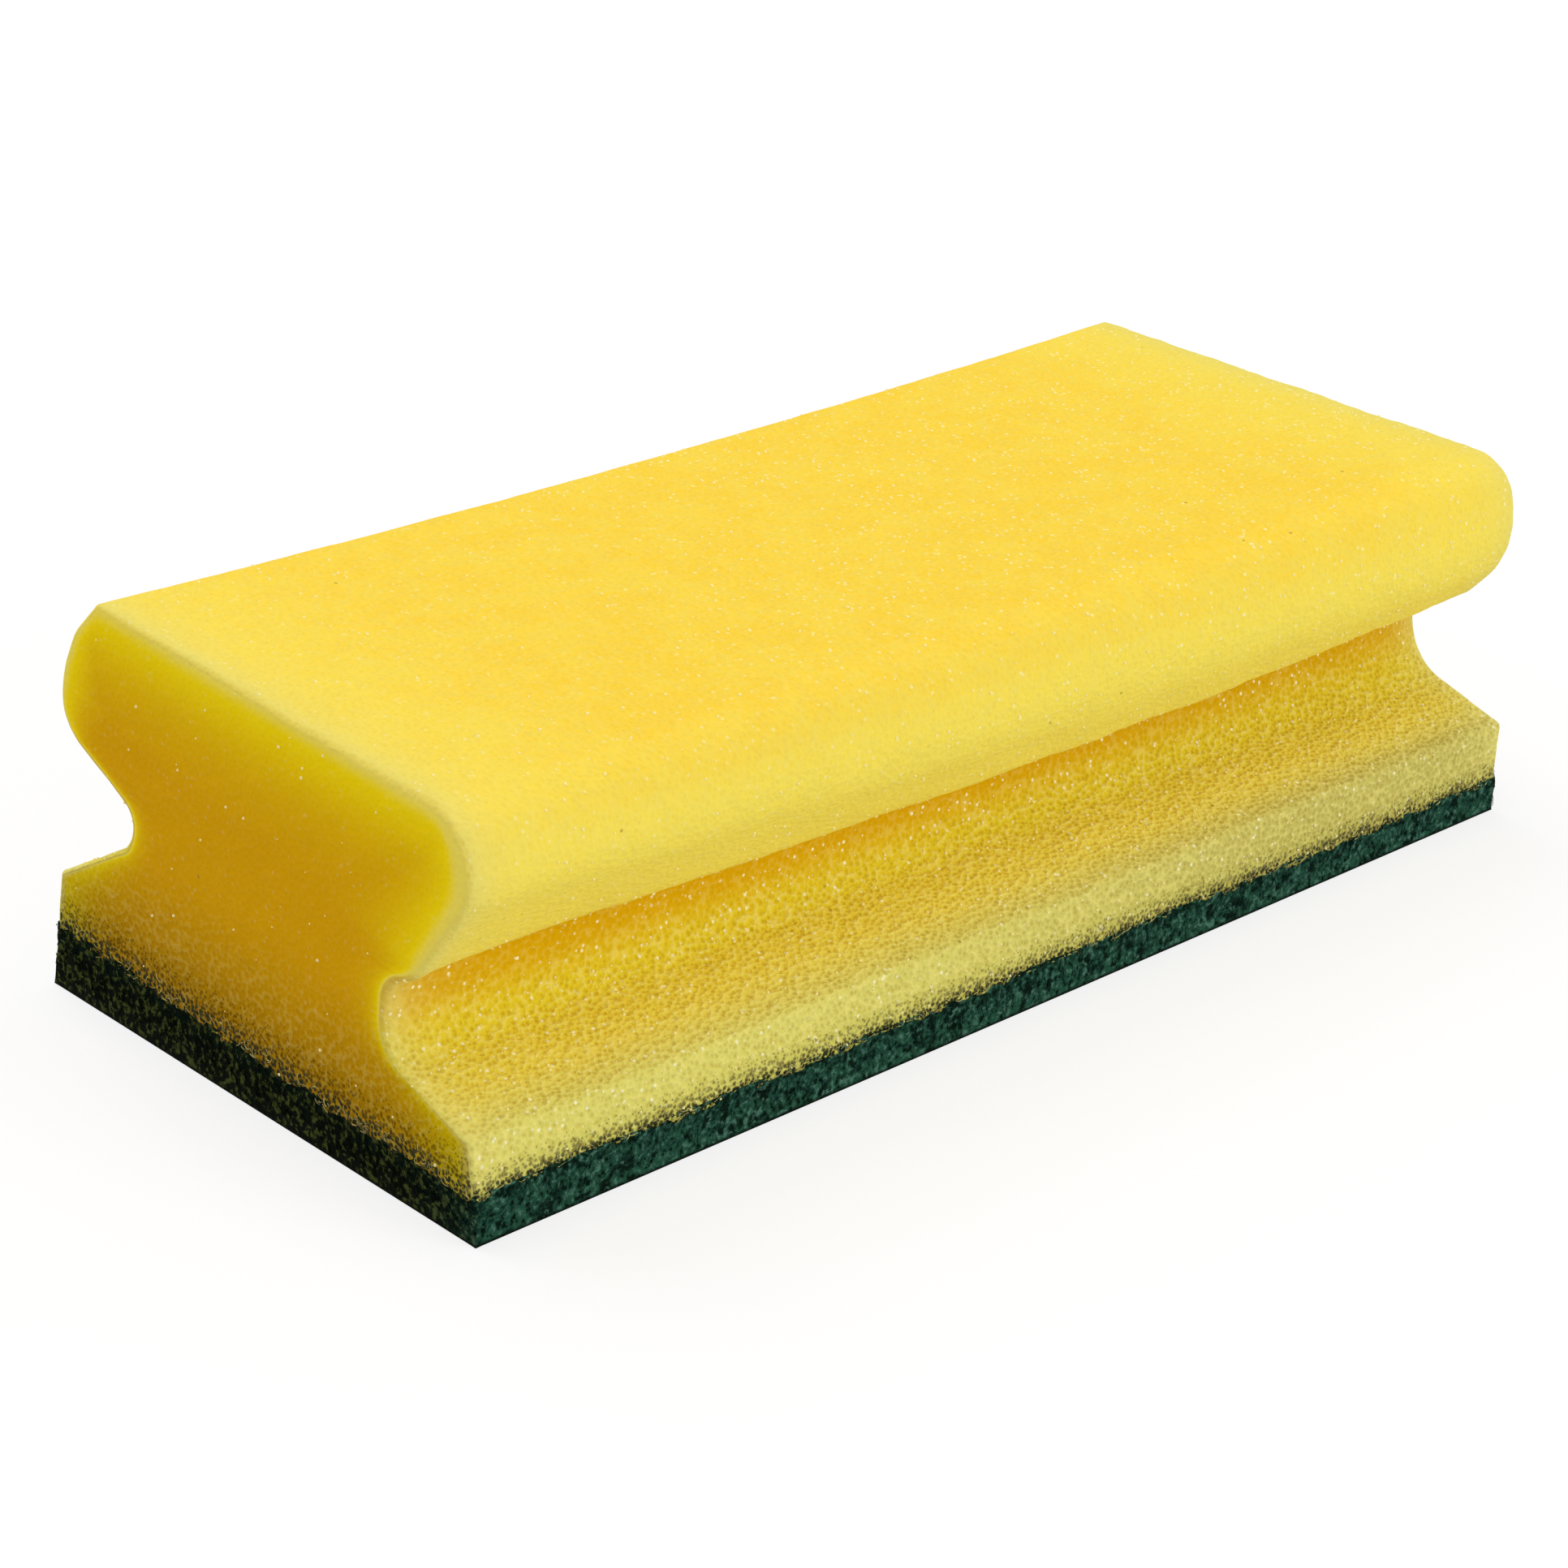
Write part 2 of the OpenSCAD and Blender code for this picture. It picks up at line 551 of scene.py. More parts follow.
@dataclass(frozen=True)
class FoamFinish:
    """Soft open-cell polyurethane foam, dyed yellow.

    Sizes are in millimetres. A band gives the two values of a pattern or share between which a
    colour comes in, and a strength how much of it comes in at most.
    """

    warm: Colour = (0.97, 0.655, 0.050, 1.0)
    lemon: Colour = (0.95, 0.76, 0.095, 1.0)
    painted_groove_shade: Colour = (0.83, 0.655, 0.024, 1.0)
    painted_under_shade: Colour = (0.73, 0.41, 0.001, 1.0)
    glow: Colour = (0.95, 0.72, 0.002, 1.0)
    painted_end_shade: Colour = (0.71, 0.365, 0.001, 1.0)
    olive: Colour = (0.78, 0.71, 0.16, 1.0)
    pale: Colour = (0.78, 0.69, 0.18, 1.0)
    painted_wall_highlight: Colour = (1.0, 0.88, 0.26, 1.0)
    spark: Colour = (1.0, 0.95, 0.58, 1.0)
    painted_pit_shade: Colour = (0.78, 0.62, 0.35, 1.0)
    painted_low_shade: Colour = (0.61, 0.60, 0.95, 1.0)
    painted_far_shade: Colour = (0.78, 0.75, 0.80, 1.0)
    near_tint: Colour = (0.87, 0.90, 0.84, 1.0)
    pore_tint: Colour = (0.47, 0.45, 0.52, 1.0)
    deep_pore: Colour = (0.026, 0.033, 0.015, 1.0)
    fluff: Colour = (0.30, 0.22, 0.03, 1.0)
    cell_size: float = 0.62
    pore_size: float = 0.434
    fine_size: float = 0.5
    cloud_size: float = 5.0
    mottle_size: float = 1.3
    painted_glint_spacing: float = 1.0
    painted_glint_patches: float = 1.8
    fluff_spacing: float = 7.0
    cloud_band: Band = (0.35, 0.65)
    mottle_band: Band = (0.35, 0.7)
    far_band: Band = (-50.0, 60.0)
    glow_band: Band = (0.0, 0.27)
    painted_end_shade_band: Band = (0.10, 0.95)
    pit_band: Band = (0.75, 0.45)
    ridge_band: Band = (0.85, 1.1)
    painted_glint_band: Band = (0.26, 0.10)
    patch_band: Band = (0.45, 0.60)
    fluff_band: Band = (0.034, 0.022)
    near_band: Band = (0.3, 1.0)
    pore_band: Band = (-0.14, 0.26)
    deep_band: Band = (0.84, 1.0)
    mottle_strength: float = 0.17
    painted_rim_light_strength: float = 0.85
    pit_strength: float = 0.55
    ridge_strength: float = 0.35
    painted_glint_strength: float = 0.65
    fluff_strength: float = 0.6
    far_groove: float = 0.25
    cloud_strength: float = 0.3
    cloudless: float = 0.75
    cell_raggedness: float = 0.7
    pore_reach: float = 0.92
    pore_raggedness: float = 0.52
    closed_relief: float = 0.3
    end_dimming: float = 0.6
    bump_strength: float = 0.7
    bump_depth: float = 0.30
    roughness: float = 0.85
    gloss: float = 0.03

    def material(self) -> Material:
        """Builds the foam's material.

        Returns:
            The material.
        """
        material, graph = new_material("yellow_foam")
        place = graph.place()
        fine = graph.grain(place, self.fine_size, 3.0)
        cell = graph.cells(place, self.cell_size)
        ragged = graph.math("MULTIPLY_ADD", fine, self.cell_raggedness, cell)
        pitted = graph.share(Share.PITTED)
        colour = self.region_colour(graph, place)
        colour = self.cell_colour(graph, colour, ragged, pitted, place)
        colour = self.seam_colour(graph, colour, place, fine)
        height = graph.math("MULTIPLY", ragged, graph.math("ADD", pitted, self.closed_relief))
        bump = graph.bump(height, self.bump_strength, self.bump_depth)
        graph.surface(colour, self.roughness, self.gloss, Normal=bump)
        return material

    def region_colour(self, graph: Graph, place: object) -> NodeSocket:
        """Mixes the colour of each region: top, shoulders, grooves, lips and cut ends, with painted shade
        in the grooves and painted light and shade on the rims and cut ends.

        Args:
            graph: The material's graph.
            place: Object coordinates.

        Returns:
            The colour.
        """
        clouds = graph.span(graph.grain(place, self.cloud_size, 3.0), *self.cloud_band)
        clouds = graph.math("MULTIPLY_ADD", clouds, self.cloud_strength, self.cloudless)
        top = graph.math("MULTIPLY", graph.share(Share.TOP), clouds)
        mottle = graph.grain(place, self.mottle_size)
        mottle = graph.span(mottle, *self.mottle_band, self.mottle_strength)
        colour = graph.blend(mottle, graph.blend(top, self.lemon, self.warm), self.pale)
        lip, groove = graph.share(Share.LIP), graph.share(Share.GROOVE)
        colour = graph.blend(lip, colour, self.olive)
        # Painted shade in the groove.
        colour = graph.blend(groove, colour, self.painted_groove_shade)
        # Painted shade under the shoulder's overhang.
        colour = graph.blend(graph.share(Share.UNDER), colour, self.painted_under_shade)
        # Painted shade: lips and grooves darker towards the right end.
        along = graph.add("ShaderNodeSeparateXYZ", {0: place}).outputs[0]
        far = graph.span(along, *(edge * MM for edge in self.far_band))
        sides = graph.math("MULTIPLY_ADD", groove, self.far_groove, graph.math("POWER", lip, 2.0))
        colour = graph.blend(graph.math("MULTIPLY", far, sides), colour, self.painted_far_shade, "MULTIPLY")
        # Painted light: a pale rim along the cut edges, where light scatters out of the thin foam.
        painted_rim_light = graph.math("MULTIPLY", graph.share(Share.PAINTED_RIM_LIGHT), self.painted_rim_light_strength)
        colour = graph.blend(painted_rim_light, colour, self.pale)
        # Painted light and shade on the cut ends: a glow near their edges, deepening into painted shade
        # towards their middle.
        end = graph.share(Share.CUT_END)
        colour = graph.blend(graph.span(end, *self.glow_band), colour, self.glow)
        colour = graph.blend(graph.span(end, *self.painted_end_shade_band), colour, self.painted_end_shade)
        # Painted shade: the cut ends darker towards the bottom.
        return graph.blend(graph.share(Share.LOW_END), colour, self.painted_low_shade, "MULTIPLY")

    def cell_colour(
        self, graph: Graph, colour: object, ragged: object, pitted: object, place: object
    ) -> NodeSocket:
        """Adds the cells: painted shade in the pits, painted highlights on the walls, small painted glints
        and a few specks of fluff.

        Args:
            graph: The material's graph.
            colour: Colour so far.
            ragged: Uneven distance from the middle of the nearest cell.
            pitted: How open the skin is, from 0 to 1.
            place: Object coordinates.

        Returns:
            The colour.
        """
        # Painted shade in the cell pits, and painted highlights on the cell walls between them, dimmed low
        # on the cut ends.
        pit_shade = graph.span(ragged, *self.pit_band, self.pit_strength)
        colour = graph.blend(graph.math("MULTIPLY", pit_shade, pitted), colour, self.painted_pit_shade, "MULTIPLY")
        lit = graph.math("MULTIPLY_ADD", graph.share(Share.LOW_END), -self.end_dimming, 1.0)
        painted_ridge_highlight = graph.span(ragged, *self.ridge_band, self.ridge_strength)
        painted_ridge_highlight = graph.math("MULTIPLY", painted_ridge_highlight, graph.math("MULTIPLY", pitted, lit))
        colour = graph.blend(painted_ridge_highlight, colour, self.painted_wall_highlight)
        # Painted glints: small bright spots in patches.
        patchy = graph.span(graph.grain(place, self.painted_glint_patches, 1.0), *self.patch_band)
        patchy = graph.math("MULTIPLY", patchy, graph.share(Share.GLINT))
        painted_glint = graph.cells(place, self.painted_glint_spacing)
        painted_glint = graph.span(painted_glint, *self.painted_glint_band, self.painted_glint_strength)
        colour = graph.blend(graph.math("MULTIPLY", painted_glint, patchy), colour, self.spark)
        speck = graph.cells(place, self.fluff_spacing)
        speck = graph.span(speck, *self.fluff_band, self.fluff_strength)
        return graph.blend(speck, colour, self.fluff)

    def seam_colour(self, graph: Graph, colour: object, place: object, fine: object) -> NodeSocket:
        """Opens dark pores towards the pad, denser the nearer they are.

        Args:
            graph: The material's graph.
            colour: Colour so far.
            place: Object coordinates.
            fine: Fine noise.

        Returns:
            The colour.
        """
        near = graph.share(Share.SEAM)
        colour = graph.blend(graph.span(near, *self.near_band), colour, self.near_tint, "MULTIPLY")
        hole = graph.cells(place, self.pore_size)
        ragged = graph.math("MULTIPLY", fine, self.pore_raggedness)
        reach = graph.math("SUBTRACT", graph.math("MULTIPLY", near, self.pore_reach), ragged)
        opened = graph.span(graph.math("SUBTRACT", reach, hole), *self.pore_band)
        tone = graph.blend(1.0, colour, self.pore_tint, "MULTIPLY")
        tone = graph.blend(graph.span(near, *self.deep_band), tone, self.deep_pore)
        return graph.blend(opened, colour, tone)


@dataclass(frozen=True)
class TwoToneFinish:
    """Small bits of foam whose colour wanders between two tones, in patches of a size."""

    name: str
    first: Colour
    second: Colour
    patch_size: float
    roughness: float
    gloss: float
    band: Band | None = None

    def material(self) -> Material:
        """Builds the material.

        Returns:
            The material.
        """
        material, graph = new_material(self.name)
        share = graph.grain(graph.place(), self.patch_size)
        if self.band:
            share = graph.span(share, *self.band)
        graph.surface(graph.blend(share, self.first, self.second), self.roughness, self.gloss)
        return material


# Small bits standing for cell walls, with a pale colour that is a painted glint.
PAINTED_GLINT_WALL = TwoToneFinish(
    "painted_glint_wall", (1.0, 0.92, 0.45, 1.0), (0.95, 0.80, 0.35, 1.0),
    patch_size=1.0, roughness=0.5, gloss=0.2,
)
FOAM_STRUT = TwoToneFinish(
    "foam_strut", (0.66, 0.55, 0.16, 1.0), (0.28, 0.25, 0.10, 1.0),
    patch_size=0.9, roughness=0.7, gloss=0.3, band=(0.35, 0.65),
)


@dataclass(frozen=True)
class ScourerFinish:
    """Matted nylon fibres with dark green resin, with sizes and bands as for the foam."""

    name: str
    teal: Colour = (0.018, 0.075, 0.044, 1.0)
    dark: Colour = (0.002, 0.009, 0.005, 1.0)
    light: Colour = (0.070, 0.175, 0.125, 1.0)
    painted_shade_black: Colour = (0.002, 0.003, 0.001, 1.0)
    fleck: Colour = (0.060, 0.072, 0.014, 1.0)
    felt_size: float = 0.6
    clot_size: float = 1.5
    clot_band: Band = (0.26, 0.52)
    light_band: Band = (0.52, 0.68)
    hollow_band: Band = (0.47, 0.36)
    fleck_band: Band = (0.50, 0.64)
    seam_shade_band: Band = (0.58, 0.44)
    painted_foot_shadow_band: Band = (0.55, 0.1)
    cut_strength: float = 0.97
    seam_shade_strength: float = 0.8
    bump_strength: float = 0.8
    bump_depth: float = 0.4
    roughness: float = 0.75
    gloss: float = 0.02

    def material(self) -> Material:
        """Builds the scouring pad's material.

        Returns:
            The material.
        """
        material, graph = new_material(self.name)
        place = graph.place()
        felt = graph.grain(place, self.felt_size, 4.0)
        clots = graph.span(graph.grain(place, self.clot_size), *self.clot_band)
        colour = graph.blend(clots, self.dark, self.teal)
        colour = graph.blend(graph.span(felt, *self.light_band), colour, self.light)
        colour = graph.blend(graph.span(felt, *self.hollow_band), colour, self.dark)
        flecks = graph.span(graph.grain(place, self.felt_size, 3.0), *self.fleck_band)
        # Painted shade on the pad's cut ends: near black, with real coloured flecks, lifted near the front
        # corner where light falls.
        cut = graph.math("MULTIPLY", graph.share(Share.CUT_END), self.cut_strength)
        colour = graph.blend(cut, colour, graph.blend(flecks, self.painted_shade_black, self.fleck))
        # Painted shade on the pad near its seam with the foam, broken up by the felt.
        seam_shade = graph.span(felt, *self.seam_shade_band, self.seam_shade_strength)
        colour = graph.blend(graph.math("MULTIPLY", seam_shade, graph.share(Share.SEAM)), colour, self.dark)
        # Painted shadow along the pad's bottom edge.
        height = graph.add("ShaderNodeSeparateXYZ", {0: place}).outputs[2]
        foot = graph.span(height, *(edge * MM for edge in self.painted_foot_shadow_band))
        colour = graph.blend(foot, colour, self.painted_shade_black)
        bump = graph.bump(felt, self.bump_strength, self.bump_depth)
        graph.surface(colour, self.roughness, self.gloss, Normal=bump)
        return material


FELT = ScourerFinish("green_felt")
LOOSE_FIBRE = ScourerFinish(
    "green_fibre", teal=(0.02, 0.085, 0.062, 1.0), dark=(0.006, 0.022, 0.016, 1.0),
)


@dataclass(frozen=True)
class Scatter:
    """Small closed shapes that Geometry Nodes scatter over a piece's skin."""

    name: str
    share: Share
    per_square_mm: float
    smallest: float
    largest: float
    seed: int
    tilt: float = math.pi

    def grain(self, graph: Graph) -> NodeSocket:
        """Makes one shape of unit size.

        Args:
            graph: The tree's graph.

        Returns:
            The shape's geometry.
        """
        ball = graph.add("GeometryNodeMeshIcoSphere", {"Radius": 0.5, "Subdivisions": 1})
        return ball.outputs["Mesh"]

    def tree(self) -> NodeTree:
        """Builds the tree that scatters the shapes.

        Returns:
            The tree, with its sizes as named inputs.
        """
        tree = bpy.data.node_groups.new(f"scatter_{self.name}", "GeometryNodeTree")
        sockets = (
            ("Skin", "NodeSocketGeometry"), ("Density", "NodeSocketFloat"),
            ("Smallest", "NodeSocketFloat"), ("Largest", "NodeSocketFloat"),
            ("Tilt", "NodeSocketFloat"), ("Seed", "NodeSocketInt"),
            ("Finish", "NodeSocketMaterial"),
        )
        for name, kind in sockets:
            tree.interface.new_socket(name=name, in_out="INPUT", socket_type=kind)
        tree.interface.new_socket(name="Shapes", in_out="OUTPUT", socket_type="NodeSocketGeometry")
        graph = Graph(tree)
        given = graph.add("NodeGroupInput").outputs
        share = graph.add("GeometryNodeInputNamedAttribute", {"Name": self.share.value}, data_type="FLOAT")
        density = graph.math("MULTIPLY", given["Density"], share.outputs[0])
        points = graph.add("GeometryNodeDistributePointsOnFaces", {
            "Mesh": given["Skin"], "Density": density, "Seed": given["Seed"],
        })
        size = graph.add("FunctionNodeRandomValue", {
            2: given["Smallest"], 3: given["Largest"], "Seed": given["Seed"],
        }, data_type="FLOAT")
        lean_back = graph.math("MULTIPLY", given["Tilt"], -1.0)
        least = graph.add("ShaderNodeCombineXYZ", {0: lean_back, 1: lean_back, 2: -math.pi})
        most = graph.add("ShaderNodeCombineXYZ", {0: given["Tilt"], 1: given["Tilt"], 2: math.pi})
        spin = graph.add("FunctionNodeRandomValue", {
            0: least.outputs[0], 1: most.outputs[0], "Seed": given["Seed"],
        }, data_type="FLOAT_VECTOR")
        turn = graph.add("FunctionNodeEulerToRotation", {0: spin.outputs[0]})
        lie = graph.add("FunctionNodeRotateRotation", {
            0: points.outputs["Rotation"], 1: turn.outputs[0],
        }, rotation_space="LOCAL")
        placed = graph.add("GeometryNodeInstanceOnPoints", {
            "Points": points.outputs["Points"], "Instance": self.grain(graph),
            "Rotation": lie.outputs[0], "Scale": size.outputs[1],
        })
        real = graph.add("GeometryNodeRealizeInstances", {0: placed.outputs[0]})
        dressed = graph.add("GeometryNodeSetMaterial", {
            "Geometry": real.outputs[0], "Material": given["Finish"],
        })
        graph.add("NodeGroupOutput", {0: dressed.outputs[0]})
        return tree

    def grow(self, skin: Mesh, finish: Material) -> Object:
        """Scatters the shapes over a skin and makes them one plain mesh.

        Args:
            skin: Mesh that carries them, with the share as a point attribute.
            finish: Their material.

        Returns:
            The finished piece.
        """
        piece = bpy.data.objects.new(self.name, skin.copy())
        bpy.context.scene.collection.objects.link(piece)
        modifier = piece.modifiers.new("scatter", "NODES")
        modifier.node_group = self.tree()
        values = {
            "Density": self.per_square_mm / MM ** 2, "Smallest": self.smallest * MM,
            "Largest": self.largest * MM, "Tilt": self.tilt, "Seed": self.seed, "Finish": finish,
        }
        for item in modifier.node_group.interface.items_tree:
            if item.in_out == "INPUT" and item.name in values:
                modifier[item.identifier] = values[item.name]
        graph = bpy.context.evaluated_depsgraph_get()
        grown = bpy.data.meshes.new_from_object(piece.evaluated_get(graph))
        piece.modifiers.clear()
        piece.data = grown
        grown.name = self.name
        return piece


@dataclass(frozen=True)
class ThreadScatter(Scatter):
    """Scattered short bent threads, such as foam struts or nylon fibres."""

    thickness: float = 0.08
    bend: float = 0.35
    segments: int = 4

    def grain(self, graph: Graph) -> NodeSocket:
        """Makes one bent thread of unit length.

        Args:
            graph: The tree's graph.

        Returns:
            The thread's geometry.
        """
        path = graph.add("GeometryNodeCurveQuadraticBezier", {
            "Resolution": self.segments, "Start": (-0.5, 0.0, 0.0),
            "Middle": (0.0, self.bend, self.bend * 0.5), "End": (0.5, 0.0, 0.0),
        })
        ring = graph.add("GeometryNodeCurvePrimitiveCircle", {
            "Resolution": 3, "Radius": self.thickness / 2.0,
        })
        tube = graph.add("GeometryNodeCurveToMesh", {
            "Curve": path.outputs[0], "Profile Curve": ring.outputs[0], "Fill Caps": True,
        })
        return tube.outputs[0]


def section(*corners: tuple[float, float, float]) -> GripSection:
    """Makes a section from inset, height and radius of each corner, seam first."""
    return GripSection(*(Corner(*corner) for corner in corners))


@dataclass(frozen=True)
class Block:
    """Outer sizes of the block, and its four side sections, in millimetres.

    The sags say how far the sides hang halfway along. The droop adds to them at the left end of the
    front, and fades along the block. The crown power bends the seam across the block.
    """

    length: float
    width: float
    back_left: GripSection = section(
        (1.2, 7.5, 0.0), (2.0, 13.7, 0.7), (13.8, 21.1, 4.6), (15.1, 24.8, 2.9),
        (2.1, 30.7, 5.0), (4.1, 39.4, 14.6), (9.8, 45.4, 0.9),
    )
    back_right: GripSection = section(
        (0.3, 5.5, 0.0), (0.9, 12.0, 0.7), (13.8, 18.0, 5.0), (14.6, 24.6, 3.0),
        (4.0, 28.8, 5.0), (1.2, 36.0, 14.0), (3.1, 41.8, 0.9),
    )
    front_left: GripSection = section(
        (0.2, 5.3, 0.0), (1.1, 10.7, 0.7), (13.8, 14.9, 7.0), (13.3, 23.7, 3.2),
        (9.2, 25.1, 8.0), (0.2, 36.5, 14.0), (4.0, 43.2, 6.5),
    )
    front_right: GripSection = section(
        (0.1, 4.0, 0.0), (0.1, 11.0, 0.7), (12.8, 14.5, 7.1), (14.6, 24.0, 2.5),
        (7.0, 24.8, 2.2), (1.2, 31.5, 14.0), (2.2, 42.3, 6.5),
    )
    front_sag: Sag = Sag(1.6, 2.0, 1.0, 0.0)
    back_sag: Sag = Sag(0.0, 0.0, 0.8, 1.1)
    front_droop: float = 1.3
    droop_reach: float = 7.0
    crown_power: float = 1.6

    def side_section(self, side: Side, share: float) -> GripSection:
        """Gives the section of one side at a share of the length.

        Args:
            side: Front or back.
            share: Share of the length from the left end.

        Returns:
            The section there.
        """
        if side is Side.FRONT:
            cut = self.front_left.towards(self.front_right, share, self.front_sag)
            hang = self.front_droop * math.exp(-share * self.length / self.droop_reach)
            roof, foot = (replace(c, height=c.height - hang) for c in (cut.groove_roof, cut.shoulder_foot))
            return replace(cut, groove_roof=roof, shoulder_foot=foot)
        return self.back_left.towards(self.back_right, share, self.back_sag)

    def seam_height(self, x: np.ndarray, y: np.ndarray) -> np.ndarray:
        """Gives the height of the seam between pad and foam.

        Args:
            x: Places along the block, in millimetres.
            y: Places across the block, in millimetres.

        Returns:
            The heights, in millimetres.
        """
        along = x / self.length + 0.5
        across = np.clip(y / self.width + 0.5, 0.0, 1.0) ** self.crown_power
        front = between(self.front_left.seam.height, self.front_right.seam.height, along)
        back = between(self.back_left.seam.height, self.back_right.seam.height, along)
        return between(front, back, across)


@dataclass
class FoamGrip:
    """The waisted foam block that the fingers hold, with depths and heights in millimetres.

    Light and shade are painted on its cut ends: a pale ring of painted light along the outline fades
    over the ring depth, and a painted glow deepens into painted shade over the glow depth. Both are
    shorter at the grooves, and the wrap depth widens the ring on the front shoulder. The skin is
    stiller near its cut edges, and painted glints are fewer at the calm left end of the top.
    """

    block: Block
    lengthwise: int = 224
    crosswise: int = 90
    rows: RowPlan = RowPlan()
    edge_steps: int = 5
    edge_round: float = 0.45
    soft_round: float = 0.8
    painted_rim_light_depth: float = 2.4
    ring_depth: float = 1.3
    groove_ring_depth: float = 0.4
    glow_depth: float = 8.0
    groove_glow: float = 1.5
    wrap_depth: float = 1.0
    low_depth: float = 17.0
    open_depth: float = 15.0
    inland_depth: float = 30.0
    end_pores: float = 10.0
    side_pores: float = 5.5
    still_depth: float = 0.8
    still_edge: float = 3.0
    stillness: float = 0.75
    wrap_rows: Band = (0.6, 0.8)
    back_steepness: float = 1.5
    end_glints: float = 0.15
    side_glints: float = 1.6
    calm_glints: float = 0.5
    calm_stretch: Band = (-0.8, 0.2)
    strand_heights: Band = (0.4, 2.0)
    unevenness: tuple[Waves, ...] = (
        Waves(0.20, 9.0, 3.1), Waves(0.10, 2.8, 8.7), Waves(0.07, 1.5, 15.2),
    )
    fray: tuple[Waves, ...] = (Waves(1.0, 1.5, 21.4), Waves(0.6, 3.7, 33.0))
    fray_height: float = 0.75
    fray_drop: float = 0.25
    fray_rows: tuple[float, ...] = (1.0, 0.5, 0.2)

    def stations(self) -> tuple[np.ndarray, np.ndarray, np.ndarray]:
        """Plans the cross sections along the block, close together round the cut edges.

        Returns:
            Place along the block from -1 to 1, and how far each section stands in from the end and
            is drawn in at its sides, both as shares of the edge's rounding.
        """
        turn = np.linspace(0.0, math.pi / 2.0, self.edge_steps + 1)[:-1]
        inner = self.lengthwise - 2 * self.edge_steps + 1
        into, drawn = 1.0 - np.cos(turn), 1.0 - np.sin(turn)
        ends = np.ones(self.edge_steps)
        along = np.concatenate([-ends, np.linspace(-1.0, 1.0, inner), ends])
        stands = np.concatenate([into, np.ones(inner), into[::-1]])
        return along, stands, np.concatenate([drawn, np.zeros(inner), drawn[::-1]])

    def roundings(self, side: Side) -> np.ndarray:
        """Gives the rounding of the cut edge at each row, small where the section itself is sharp.

        Args:
            side: Front or back.

        Returns:
            Radius for each row, in millimetres.
        """
        _, slope, floor, _, _, shoulder = self.rows.landmarks()
        row = np.arange(self.rows.top() + 1)
        soft = ease(row, slope, floor)
        if side is Side.BACK:
            soft = soft * (1.0 - ease(row, shoulder, shoulder + 6))
        return self.edge_round + (self.soft_round - self.edge_round) * soft

    def side_grid(self, side: Side, along: np.ndarray, drawn: np.ndarray) -> np.ndarray:
        """Works out one long side.

        Args:
            side: Front or back.
            along: Places of the cross sections, from -1 to 1.
            drawn: How far each section is drawn in, as a share of the edge's rounding.

        Returns:
            Y and height of each point, by cross section and row.
        """
        grid = []
        half = self.block.width / 2.0
        rounding = self.roundings(side)[:, None]
        for place, drawn_in in zip(along, drawn):
            cut = self.block.side_section(side, place / 2.0 + 0.5)
            line = cut.outline(self.rows, half)
            ahead = np.gradient(line, axis=0)
            inwards = np.column_stack([ahead[:, 1], -ahead[:, 0]])
            inwards /= np.linalg.norm(inwards, axis=1, keepdims=True)
            inwards[0] = (1.0, 0.0)
            line = line + inwards * rounding * drawn_in
            grid.append(np.column_stack([side.value * (half - line[:, 0]), line[:, 1]]))
        return np.array(grid)

    def skin(self) -> Skin:
        """Builds the foam's closed skin with its soft unevenness and ragged seam.

        Returns:
            The skin, with its shares.
        """
        along, stands, drawn = self.stations()
        front = self.side_grid(Side.FRONT, along, drawn)
        back = self.side_grid(Side.BACK, along, drawn)
        top = self.rows.top()
        steps, quads = BoxLattice((self.lengthwise, self.crosswise, top)).skin()
        i, j, k = steps.T
        t = j / self.crosswise
        rounding = between(self.roundings(Side.FRONT)[k], self.roundings(Side.BACK)[k], t)
        x = along[i] * (self.block.length / 2.0 - rounding * stands[i])
        y, z = between(front[i, k], back[i, k], t[:, None]).T
        level = between(front[i, 0, 1], back[i, 0, 1], t)
        crown = (self.block.seam_height(x, y) - level) * (1.0 - k / top) ** 2
        skin = Skin("foam_grip", np.column_stack([x, y, z + crown]), quads)
        wrap = self.wrap_depth * ease(k, *(top * share for share in self.wrap_rows))
        to_back = self.back_steepness * (back[i, k, 0] - y)
        to_side = np.minimum(y - front[i, k, 0] - wrap, to_back)
        (front_y, front_z), (back_y, back_z) = front[i, top].T, back[i, top].T
        across = np.clip((y - front_y) / (back_y - front_y), 0.0, 1.0)
        to_top = front_z + across * (back_z - front_z) - z
        depth = np.maximum(np.minimum(to_side, to_top), 0.0)
        turned = drawn[i]
        self.mark(skin, steps, depth, turned)
        free = np.where(turned < 1.0, 1.0 - turned, 1.0 - np.exp(-depth / self.still_depth))
        to_edge = np.hypot(y - back_y, z - back_z)
        self.roughen(skin, k, free * (1.0 - self.stillness * np.exp(-to_edge / self.still_edge)))
        return skin

    def mark(self, skin: Skin, steps: np.ndarray, depth: np.ndarray, turned: np.ndarray) -> None:
        """Writes the shares that the finish and the scattered shapes read.

        Args:
            skin: The foam's skin.
            steps: Lattice numbers of each point.
            depth: Distance of each point from the outline of its section, in millimetres.
            turned: How far the skin has turned towards the cut end, from 0 to 1.
        """
        i, j, k = steps.T
        x, y, z = skin.points.T
        half = self.block.length / 2.0
        from_end = np.maximum(half - np.abs(x), 0.0)
        above = z - self.block.seam_height(x, y)
        at_end = (i == 0) | (i == self.lengthwise)
        outside = ~at_end * 1.0
        # The numbers beside these rows are steps of the mesh before or after them.
        lip, slope, floor, roof, foot, shoulder = self.rows.landmarks()
